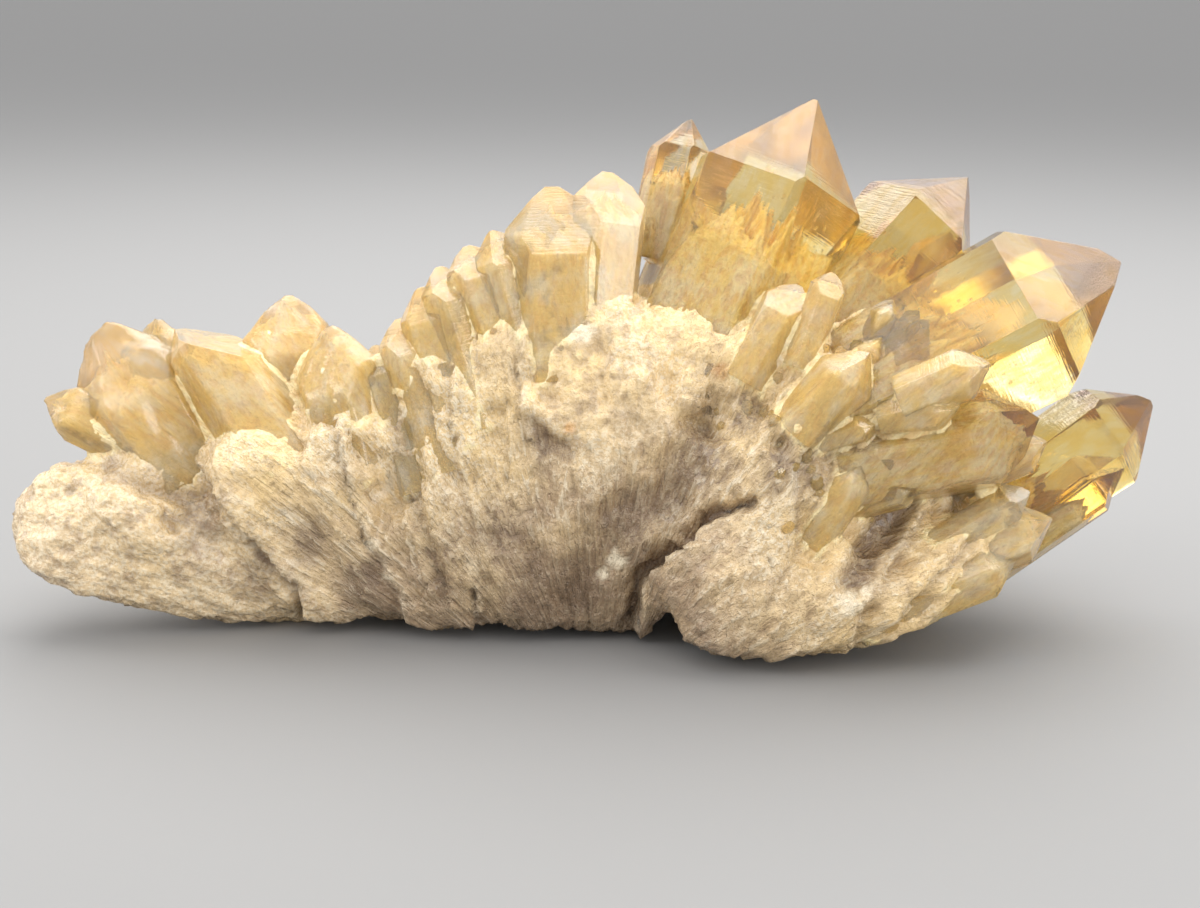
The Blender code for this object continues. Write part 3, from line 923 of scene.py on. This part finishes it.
# Marks on the root's front. Each line is in the plane that the photograph looks at straight on, in
# millimetres to the right and up. A ledge stands up on the left of its line, as the line runs, by its
# height, and dies away over its fade. A groove has a width, a depth and a share of shade. A spot or an
# area has a middle and a size, the scar a middle and its two half widths, and the zone of the tiny
# crystals a middle and the distances where it begins to end and ends.
LEDGES = (
    (((39.3, 22), (39.1, 28.1), (39.1, 32.4), (41.2, 35.9), (42.9, 38.9), (45.9, 43.4)), 2.2, 9),
    (((-74.4, 40.2), (-73.1, 32.7), (-68.4, 26.2), (-60.9, 16.9), (-55.3, 8.4), (-54.4, 1)), 2.0, 9),
    (((-100.2, 41.2), (-95.5, 38.0), (-84.3, 36.9), (-74.0, 33.5)), 1.4, 4),
    (((-3.9, 69.2), (-11.0, 64.5), (-11.4, 49.6), (-9.5, 38.4)), 1.3, 6),
    (((29.2, 24.9), (22.1, 22.8), (19.7, 19.3), (14.8, 14.4), (11.8, 10.3), (10.1, 1)), 2.4, 8),
    (((-41.7, 21.5), (-38.5, 15.0), (-35.3, 8.4), (-33.4, 0)), 1.3, 4),
    (((-22.2, 64.5), (-24.4, 49.6), (-22.2, 32.7), (-18.8, 19.7)), 0.9, 6),
    (((-46.5, 44), (-43.1, 27.1), (-40.9, 19.7)), 0.9, 5),
    (((-19.8, 0), (-19.2, 10.3), (-20.7, 15.9)), 1.3, 5),
    (((50.4, -2), (52.5, 8), (58.5, 17), (66.0, 27.0)), 1.2, 6),
)
GROOVES = (
    (((-38.5, 51.4), (-35.3, 40.2), (-33.4, 30.9), (-28.2, 15.9), (-26.3, 8.4)), 2.0, 1.8, 0.5),
    (((25.1, 50.0), (22.1, 41.9)), 5.0, 0.9, 0.28),
    (((21.0, 38.0), (16.1, 28.1), (7.2, 23.0), (1.2, 15.0), (-1.8, 7.0)), 6.5, 2.4, 0.62),
    (((31.2, 26.4), (21.8, 24.0), (18.9, 20.3), (13.8, 15.4), (10.6, 10.8), (8.8, 0)), 1.7, 3.2, 0.95),
    (((50.5, 12.0), (54.5, 19.5), (60.5, 26.5)), 4.2, 3.0, 0.8),
    (((43.5, 31.0), (47.5, 36.5), (55.0, 40.2)), 4.2, 0.4, 0.38),
    (((-19.8, 21.2), (-12.0, 18.5), (-7.6, 14.0)), 4.0, 0.8, 0.42),
    (((-8.8, 41.0), (-7.0, 37.5), (-2.6, 36.5)), 3.0, 1.3, 0.62),
    (((-90.0, 33.5), (-79.0, 30.0), (-72.5, 25.5)), 4.5, 1.0, 0.4),
    (((-55.6, 9.5), (-55.0, 0.0)), 1.3, 2.2, 0.8),
    (((-63.0, 17.5), (-57.5, 9.0)), 1.6, 1.2, 0.6),
    (((-39.6, 13.0), (-37.0, 7.0), (-35.0, 2.0)), 2.2, 0.6, 0.45),
    (((-20.6, 9.5), (-20.2, 1.0)), 0.8, 1.5, 0.7),
    (((-46.0, 38.0), (-43.5, 28.0)), 1.0, 0.8, 0.35),
    (((34.0, 8.0), (42.0, 22.0)), 1.0, 0.7, 0.3),
    (((60.0, 6.0), (72.0, 19.0), (80.0, 28.0)), 1.2, 1.0, 0.45),
    (((66.0, 2.0), (76.0, 13.0)), 0.9, 0.8, 0.3),
)
WHITE_PATCHES = (
    ((49.4, 9.0), 2.6), ((52.6, 10.2), 1.0), ((6.8, 14.8), 1.8), ((4.5, 12.0), 1.3), ((-77.2, 34.6), 4.0),
    ((-83.0, 35.6), 2.6), ((36.3, 53.3), 1.3), ((0.4, 58.0), 2.6), ((-33.8, 43.0), 1.6), ((-40.2, 18.6), 1.5),
    ((-37.4, 12.0), 1.2), ((44.5, 53.0), 1.2),
)
# Broad grey-brown areas: partly the quartz's own tone, partly painted shade in the valley, below the scar and
# in the low hollows
SMOKY_SHADE_AREAS = (
    ((-6.4, 37.6), 3.0), ((24.4, 35.9), 7.0), ((17.0, 28.5), 7.0), ((9.0, 21.0), 6.0), ((-15.7, 21.2), 6.5),
    ((-25.0, 16.0), 6.0), ((-41.5, 11.0), 5.0), ((0.0, 9.0), 7.0), ((-10.0, 10.0), 6.0), ((43.8, 33.7), 6.5),
    ((50.0, 36.0), 6.0), ((36.0, 34.0), 6.0), ((-74.0, 24.0), 6.0), ((-63.0, 10.0), 5.0), ((30.0, 43.0), 5.0),
    ((-52.0, 20.0), 4.0), ((58.0, 24.0), 4.0),
)
# Painted light: soft areas where the root is painted paler because light falls on it
PAINTED_LIGHT_AREAS = (((-26.0, 40.0), 13.0), ((-47.0, 40.0), 8.0), ((8.0, 66.0), 6.0), ((34.0, 22.0), 5.0))
STAINS = (((-2.0, 40.0), 1.2), ((82.0, 30.6), 1.3), ((26.0, 51.0), 1.6))
SCAR = ((4.5, 53.0), (17.0, 19.0))
GOLDEN = (
    ((36.0, 52.0), 26.0), ((62.0, 40.0), 22.0), ((-10.0, 64.0), 18.0), ((-32.0, 52.0), 14.0),
    ((-62.0, 42.0), 18.0), ((20.0, 64.0), 20.0),
)
DRUSE_ZONE = ((47.0, 45.0), 14, 26)


def plane_table(crystals):
    """Every crystal's planes in the working frame: outward normals, and how far out each lies."""
    normals, reaches = [], []
    for crystal in crystals:
        place = placement(crystal)
        turn = place.to_3x3()
        outward = [(turn @ normal, place @ point) for point, normal in growth_planes(crystal)]
        normals.append([normal[:] for normal, _ in outward])
        reaches.append([normal.dot(point) for normal, point in outward])
    return np.array(normals), np.array(reaches)


def from_line(flat, line):
    """Distance of each flat point to the line, below zero on the right-hand side as the line runs."""
    nearest = np.full(len(flat), 1e9)
    side = np.ones(len(flat))
    for start, end in zip(line, line[1:]):
        start, run = np.array(start), np.array(end) - np.array(start)
        along = np.clip((flat - start) @ run / (run @ run), 0, 1)
        away = flat - start - along[:, None] * run
        gap = np.linalg.norm(away, axis=1)
        nearer = gap < nearest
        nearest = np.where(nearer, gap, nearest)
        side = np.where(nearer, np.sign(run[0] * away[:, 1] - run[1] * away[:, 0]), side)
    return nearest * side


def distance_to(flat, centre):
    """Each flat point's distance to the centre."""
    return np.linalg.norm(flat - np.array(centre), axis=1)


def spots_at(flat, spots, wander):
    """How far inside one of the round spots each flat point lies, from 0 to 1, with uneven rims."""
    inside = np.zeros(len(flat))
    for centre, size in spots:
        gap = distance_to(flat, centre) + wander * size * 0.6
        inside = np.maximum(inside, 1 - smooth_step(gap, size * 0.55, size * 1.15))
    return inside


def soft_areas(flat, areas, wander):
    """How near the middle of one of the areas each flat point lies, from 0 to 1, without a rim."""
    nearness = np.zeros(len(flat))
    for centre, size in areas:
        gap = np.linalg.norm((flat - np.array(centre)) * np.array((1.25, 0.8)), axis=1) + wander * 1.5
        nearness = np.maximum(nearness, np.exp(-((gap / size) ** 2)))
    return nearness


def broken_columns(points, seed):
    """Steps and tilts of broken columns, about -1 to 1, and how far each point is from a seam."""
    rise = np.empty(len(points))
    seam = np.empty(len(points))
    for number, point in enumerate(points):
        place = Vector(point) + Vector((seed, seed, seed))
        gaps, centres = noise.voronoi(place)
        chance = noise.cell_vector(centres[0] * 9.7)
        tilt = (place - centres[0]).dot(chance - Vector((0.5, 0.5, 0.5)))
        rise[number] = chance.x + chance.y - 1 + tilt * 1.6
        seam[number] = gaps[1] - gaps[0]
    return rise, seam


def cloud_inside(points, depths, cover):
    """Draws points that lie on a crystal in under its faces, and ends the cloud inside part way up."""
    moved = points.copy()
    owner = depths.argmin(1)
    on_crystal = depths.min(1) < 0.75
    for number, crystal in enumerate(ALL_POINTS):
        mine = np.nonzero(on_crystal & (owner == number))[0]
        if not len(mine):
            continue
        back = np.array(placement(crystal).inverted())
        local = points[mine] @ back[:3, :3].T + back[:3, 3]
        height = (Vector(crystal.tip) - Vector(crystal.root)).length
        top = height * crystal.cloud
        first = min(np.percentile(local[:, 2], 4), top - 1)
        # How far up each point is towards the cloud's top, and from there towards the crystal's tip
        share = np.clip((local[:, 2] - first) / (top - first), 0, 1)
        beyond = np.clip((local[:, 2] - top) / (height - top), 0, 1)
        drawn = local * np.array((1, 1, 0.25))
        rough = noise_at(drawn, crystal.width * 0.17, number * 1.7)
        rough += 0.5 * noise_at(drawn, crystal.width * 0.07, number * 2.3)
        shrink = 1 - 0.05 - cover * share ** 1.6 * (1 + 0.8 * rough)
        local[:, :2] *= (shrink * (1 - 0.8 * beyond ** 0.8))[:, None]
        dome = top + crystal.width * (0.26 * beyond + 0.26 * rough * beyond ** 0.5)
        local[:, 2] = np.where(beyond > 0, dome, local[:, 2])
        forth = np.array(placement(crystal))
        moved[mine] = local @ forth[:3, :3].T + forth[:3, 3]
    return moved, on_crystal


def merged_solid():
    """A copy of the solid's mesh, with its loose triangles joined."""
    whole = bmesh.new()
    whole.from_mesh(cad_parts["citrine_cluster"].data)
    bmesh.ops.remove_doubles(whole, verts=whole.verts[:], dist=1e-6)
    return mesh_from(whole, "root copy")


class RootSurface:
    """The points of the root's mesh, in millimetres of the working frame, and what describes them.

    nearest is how far outside the nearest crystal's faces each point lies, flat its place as the
    photograph's camera sees it, way and far the direction and distance from the growth centre, front
    how much it faces the camera, and scar how much it lies in the scar, both from 0 to 1. wobble bends
    the patterns that fan out, and wander makes rims and lines uneven.
    """

    def __init__(self, mesh, cover):
        points = read_points(mesh) / MM - np.array(ORIGIN_SHIFT)
        depths = np.stack([(points @ n.T - r).max(1) for n, r in zip(*plane_table(ALL_POINTS))], 1)
        drawn_in, self.on_crystal = cloud_inside(points, depths, cover)
        self.nearest = depths.min(1)
        share = smooth_step(self.nearest, 0.3, 2.0) * 0.65
        self.points = smoothed(mesh, drawn_in, share, SMOOTHING_PASSES)
        write_points(mesh, self.points)
        self.outward = read_normals(mesh)
        self.front = smooth_step(self.outward @ np.array(VIEW_SIDE), 0.05, 0.35)
        picture_up = np.array((0, math.sin(VIEW_TILT), math.cos(VIEW_TILT)))
        self.flat = np.stack((self.points[:, 0], self.points @ picture_up), 1)
        way = self.points - np.array(GROWTH_CENTRE)
        self.far = np.linalg.norm(way, axis=1)[:, None]
        self.way = way / self.far
        self.wobble = np.stack([noise_at(self.points, 12.0, seed) for seed in (2.0, 5.0, 8.0)], 1)
        self.wander = noise_at(self.points, 3.2, 13.0) + 0.5 * noise_at(self.points, 1.3, 14.0)
        centre, reach = SCAR
        scar = np.linalg.norm((self.flat - np.array(centre)) / np.array(reach), axis=1) + self.wander * 0.12
        self.scar = (1 - smooth_step(scar, 0.8, 1.1)) * self.front

    def fan(self, count, spread, bend):
        """Places for a pattern that fans out from the growth centre. A higher count makes it finer all
        over, a lower spread makes it finer further out, and the wobble bends it."""
        return self.way * (count + self.far / spread) + self.wobble * bend


def grown_relief(root, settings):
    """Height of the root's columns, splinters, lumps, crust, ribs and chips, and each point's distance
    from a seam between two columns."""
    scar = root.scar
    column, column_seam = broken_columns(root.fan(12, 45, 0.45), 3.0)
    splinter, splinter_seam = broken_columns(root.fan(36, 14, 0.8), 7.0)
    column = column * (1 - 0.6 * scar) - 0.4 * (1 - smooth_step(column_seam, 0, 0.14))
    splinter = splinter * (1 - 0.8 * scar) - 0.4 * (1 - smooth_step(splinter_seam, 0, 0.2))
    relief = column * settings.column + splinter * settings.splinter
    crust = noise_at(root.points, 2.2, 1.0) * 0.8 + noise_at(root.points, 5.5, 6.0) * 0.5
    relief += (noise_at(root.points, 9.0, 4.0) - 0.3) * settings.lump + crust * scar * settings.crust
    ribs = 0.3 - np.abs(noise_at(root.fan(24, 16, 0.5), 1.0, 31.0)) * 1.6
    ribs += 0.5 * (0.3 - np.abs(noise_at(root.fan(55, 6, 1), 1.0, 33.0)) * 1.6)
    chips = noise_at(root.points, 1.7, 35.0) + 0.8 * noise_at(root.points, 4.2, 37.0)
    relief += (ribs * (1 - 0.6 * scar) + chips * 0.45) * settings.rib
    return relief / MM * 0.5, column_seam


def with_ledges(root, relief, shade):
    """The relief and the shade with the ledges, and how near each point is to a ledge's edge."""
    edge = np.zeros(len(relief))
    for line, height, fade in LEDGES:
        gap = from_line(root.flat, line) + root.wander * 0.8
        above, below = np.exp(-np.maximum(gap, 0) / fade), np.exp(-np.maximum(-gap, 0) / (fade * 0.5))
        step = np.where(gap > 0, above, -0.5 * below) * smooth_step(np.abs(gap), 0, 0.5)
        relief = relief + step * height * 0.7 * root.front
        edge = np.maximum(edge, np.exp(-((gap - 0.4) / 0.45) ** 2) * root.front)
        # Painted shade below each ledge's step
        under = np.exp(-(np.maximum(-gap, 0) / 1.6) ** 2) * (gap < 0) * 0.5
        shade = np.maximum(shade, under * root.front)
    return relief, shade, edge


def with_grooves(root, relief, shade):
    """The relief and the shade with the grooves."""
    for line, width, depth, dark in GROOVES:
        gap = np.abs(from_line(root.flat, line)) + root.wander * min(width, 2.5) * 0.4
        inside = (1 - smooth_step(gap, width * 0.15, width * 1.1)) * root.front
        relief = relief - inside * depth
        # Painted shade in the groove, by its share of shade
        shade = np.maximum(shade, inside * dark)
    return relief, shade


def crystal_overlap(root):
    """How far the root's ragged edge is drawn in, so that it ends unevenly over the crystals' feet."""
    ragged = noise_at(root.fan(11, 30, 0.3), 1.0, 41.0) + 0.25 * noise_at(root.points, 6.0, 43.0)
    overlap = (1 - smooth_step(root.nearest, 2.0, 6.5)) * smooth_step(ragged, -0.05, 0.5) * root.front
    return overlap * (np.maximum(root.nearest, 0) + 0.7)


def write_marks(mesh, root, moved, edge, shade):
    """Stores what the root's material reads at each point: how golden it is, how frosted or lit by painted
    light, how gritty, how grey-brown or darkened by painted shade in the hollows, how white, how much painted
    shade it has in its grooves and seams, how stained, and whether it is a cloud inside a crystal."""
    flat, wander, front, on_crystal = root.flat, root.wander, root.front, root.on_crystal
    bare = ~on_crystal
    golden = np.where(on_crystal, 1.0, np.exp(-np.maximum(root.nearest, 0) / 13))
    for centre, size in GOLDEN:
        gap = distance_to(flat, centre) + wander * 3
        golden = np.maximum(golden, (1 - smooth_step(gap, size * 0.4, size * 1.2)) * 0.85)
    patches = noise_at(root.way, 1 / 7, 21.0) + 0.6 * noise_at(moved, 9.0, 23.0)
    patches = smooth_step(patches, 0.10, 0.5) * 0.7 * bare * smooth_step(root.far[:, 0], 48, 72)
    # Painted light: the root made paler in the areas where the light falls on it, over the frosted patches
    patches = np.maximum(patches, soft_areas(flat, PAINTED_LIGHT_AREAS, wander) * front)
    slab = 1 - smooth_step(flat[:, 0] + wander * 3 + (flat[:, 1] - 20) * 0.8, -66, -52)
    slab *= bare * front * (1 - smooth_step(flat[:, 1], 34, 40))
    marks = {
        "gold": golden,
        "inner": on_crystal * (1 - 0.6 * smooth_step(moved[:, 1], 14, 26)),
        # Frosting of the scar, the slab and the patches, and the painted light of the lit areas
        "frost": np.maximum(np.maximum(root.scar * 0.22, slab * 0.7), patches),
        "grit": np.maximum(slab, root.scar * 0.85),
        # Grey-brown tone mixed with painted shade in the valley and the low hollows
        "smoke": soft_areas(flat, SMOKY_SHADE_AREAS, wander) * front * bare,
        "white": np.maximum(spots_at(flat, WHITE_PATCHES, wander) * front, edge * 0.35),
        "shade": shade,
        "stain": spots_at(flat, STAINS, wander) * front,
    }
    for name, values in marks.items():
        write_values(mesh, name, values)


def druse_wanted(root):
    """How thickly tiny crystals grow at each point: close to the large ones, on ground that faces out."""
    near = smooth_step(root.nearest, 0.1, 0.6) * (1 - smooth_step(root.nearest, 2.5, 6.0))
    upward = smooth_step((root.outward * root.way).sum(1), 0.1, 0.6)
    centre, start, stop = DRUSE_ZONE
    return near * upward * (1 - smooth_step(distance_to(root.flat, centre), start, stop))


def root_mesh(settings):
    """The cloudy root's mesh, from the solid, with its broken columns, ledges, grooves and scar."""
    mesh = remeshed(merged_solid(), settings.voxel)
    root = RootSurface(mesh, settings.cloud_cover)
    relief, seam = grown_relief(root, settings)
    # Painted shade along the seams between the columns, weaker on the clouds inside the crystals
    shade = 0.22 * (1 - smooth_step(seam, 0, 0.10)) * np.where(root.on_crystal, 0.3, 1)
    relief, shade, edge = with_ledges(root, relief, shade)
    relief, shade = with_grooves(root, relief, shade)
    relief = (relief - crystal_overlap(root)) * np.where(root.on_crystal, 0.2, 1.0)
    moved = root.points + root.outward * relief[:, None]
    moved[:, 2] = np.maximum(moved[:, 2], 0)
    write_points(mesh, (moved + np.array(ORIGIN_SHIFT)) * MM)
    write_marks(mesh, root, moved, edge, shade)
    write_values(mesh, "crumbs", druse_wanted(root))
    shade_smooth(mesh)
    return mesh


# Operators


class CITRINE_OT_cloudy_root(bpy.types.Operator):
    """Makes the cloudy root and the clouds inside the crystals"""

    bl_idname = "citrine.cloudy_root"
    bl_label = "Cloudy root"

    def execute(self, context):
        settings = context.scene.citrine_root
        mesh = root_mesh(settings)
        bare = mesh.copy()
        finished(mesh, "cloudy_root", cloudy_quartz(settings), ["citrine_cluster"])
        crystals = context.scene.citrine_crystals
        sunk = Matrix.Scale(MM, 4) @ Matrix.Translation((0, 0, -0.7))
        crumb = crystal_mesh(Crystal("crumb", (0, 0, 0), (0, 0, 2.2), 1, 10), 0, sunk)
        honey = milky_quartz("Druse quartz", crystals, 0.8, 0.06, 0.0)
        values = {
            "Per Area": crystals.crumbs, "Smallest": 0.8, "Largest": 2.6, "Along Growth": 0.75,
            "Untidiness": 0.35, "Seed": 4,
        }
        scattered("druse_crumbs", bare, crumb, honey, values)
        return {"FINISHED"}


class CITRINE_OT_clear_points(bpy.types.Operator):
    """Makes the large clear crystals, each a piece of its own"""

    bl_idname = "citrine.clear_points"
    bl_label = "Clear points"

    def execute(self, context):
        settings = context.scene.citrine_crystals
        clear = clear_quartz("Clear citrine", settings, settings.citrine, settings.citrine_depth)
        amber = clear_quartz("Amber citrine", settings, settings.amber, settings.amber_depth, 0.8, 0.06)
        deep = clear_quartz("Deep citrine", settings, settings.citrine, settings.deep_depth, 0.9, 0.05)
        for crystal in CLEAR_POINTS:
            material = clear if crystal in (MAIN_POINT, RIGHT_POINT) else deep
            if crystal in (AMBER_POINT, LEFT_SPIRE):
                material = amber
            crystal_piece(crystal.name.replace(" ", "_"), [crystal], material, settings.bevel)
        sheets = crack_sheets((MAIN_POINT, TWIN_POINT, RIGHT_POINT, FAR_POINT), settings.veils)
        values = {
            "Per Area": 220000, "Smallest": 0.25, "Largest": 1.0, "Along Growth": 0.0,
            "Untidiness": 0.5, "Seed": 9,
        }
        scattered("healed_cracks", sheets, flake_mesh(), veil_finish(), values)
        return {"FINISHED"}


class CITRINE_OT_cloudy_points(bpy.types.Operator):
    """Makes the cloudy crystals of the crest, the left end, the right foot and the back"""

    bl_idname = "citrine.cloudy_points"
    bl_label = "Cloudy points"

    def execute(self, context):
        settings = context.scene.citrine_crystals
        honey = milky_quartz("Honey quartz", settings, 0.78, 0.06, 0.4)
        frosted = milky_quartz("Frosted citrine", settings, 0.8, 0.12, 1.0)
        cloudy = milky_quartz("Cloudy citrine", settings, 0.7, 0.08, 0.6)
        crystal_piece("crest_points", CREST_POINTS, honey, settings.bevel)
        crystal_piece("left_points", LEFT_POINTS, frosted, settings.bevel)
        crystal_piece("low_points", LOW_POINTS, honey, settings.bevel)
        crystal_piece("small_points", SMALL_POINTS, honey, settings.bevel)
        crystal_piece("back_points", BACK_POINTS, cloudy, settings.bevel)
        return {"FINISHED"}


class CITRINE_OT_stage(bpy.types.Operator):
    """Sets up the plain floor, the soft lights and the photograph's camera"""

    bl_idname = "citrine.stage"
    bl_label = "Stage"

    def execute(self, context):
        settings = context.scene.citrine_stage
        bm = bmesh.new()
        bmesh.ops.create_grid(bm, x_segments=1, y_segments=1, size=FLOOR_REACH)
        floor = add_object("floor", mesh_from(bm, "floor"))
        material, _, shader = new_material("Plain floor")
        set_inputs(shader, {"Base Color": (*settings.floor, 1), "Roughness": 0.7})
        floor.data.materials.append(material)
        for name, (place, size) in LIGHTS.items():
            area_light(name, place, size, getattr(settings, name))
        world = bpy.data.worlds.new("Studio")
        world.use_nodes = True
        set_inputs(world.node_tree.nodes["Background"], {"Color": (1.0, 1.0, 1.01, 1), "Strength": 1.0})
        context.scene.world = world
        context.scene.view_settings.view_transform = "Standard"
        camera = add_object("camera", bpy.data.cameras.new("camera"))
        camera.data.lens = CAMERA_LENS
        camera.data.sensor_width = CAMERA_SENSOR
        camera.data.clip_start = 0.01
        camera.location = spot(*(CAMERA_TARGET + VIEW_SIDE * CAMERA_DISTANCE))
        camera.rotation_euler = (math.pi / 2 - VIEW_TILT, 0, 0)
        context.scene.camera = camera
        return {"FINISHED"}


def area_light(name, place, size, power):
    """A soft rectangular light that points at the cluster."""
    light = bpy.data.lights.new(name, "AREA")
    light.shape = "RECTANGLE"
    light.size, light.size_y = size
    light.energy = power
    lamp = add_object(name, light)
    lamp.location = place
    lamp.rotation_euler = (LIGHT_TARGET - Vector(place)).to_track_quat("-Z", "Y").to_euler()


class CITRINE_PT_cluster(bpy.types.Panel):
    """Lists the cluster's settings, and buttons that make its pieces and its stage"""

    bl_idname = "CITRINE_PT_cluster"
    bl_label = "Citrine cluster"
    bl_space_type = "VIEW_3D"
    bl_region_type = "UI"
    bl_category = "Citrine"

    def draw(self, context):
        for name in ("root", "crystals", "stage"):
            group = getattr(context.scene, f"citrine_{name}")
            box = self.layout.box()
            box.label(text=name.capitalize())
            for key in group.bl_rna.properties.keys():
                if key not in ("rna_type", "name"):
                    box.prop(group, key)
        for operator in OPERATORS:
            self.layout.operator(operator.bl_idname)


OPERATORS = (CITRINE_OT_cloudy_root, CITRINE_OT_clear_points, CITRINE_OT_cloudy_points, CITRINE_OT_stage)
CLASSES = (RootSettings, CrystalSettings, StageSettings, *OPERATORS, CITRINE_PT_cluster)


def register():
    """Makes the classes known to Blender, and gives the scene its settings."""
    for each in CLASSES:
        bpy.utils.register_class(each)
    bpy.types.Scene.citrine_root = PointerProperty(type=RootSettings)
    bpy.types.Scene.citrine_crystals = PointerProperty(type=CrystalSettings)
    bpy.types.Scene.citrine_stage = PointerProperty(type=StageSettings)


def unregister():
    """Takes the settings and the classes away again."""
    del bpy.types.Scene.citrine_stage
    del bpy.types.Scene.citrine_crystals
    del bpy.types.Scene.citrine_root
    for each in reversed(CLASSES):
        bpy.utils.unregister_class(each)


def main():
    """Builds every piece and the stage."""
    register()
    bpy.ops.citrine.cloudy_root()
    bpy.ops.citrine.clear_points()
    bpy.ops.citrine.cloudy_points()
    bpy.ops.citrine.stage()


if __name__ == "__main__":
    main()
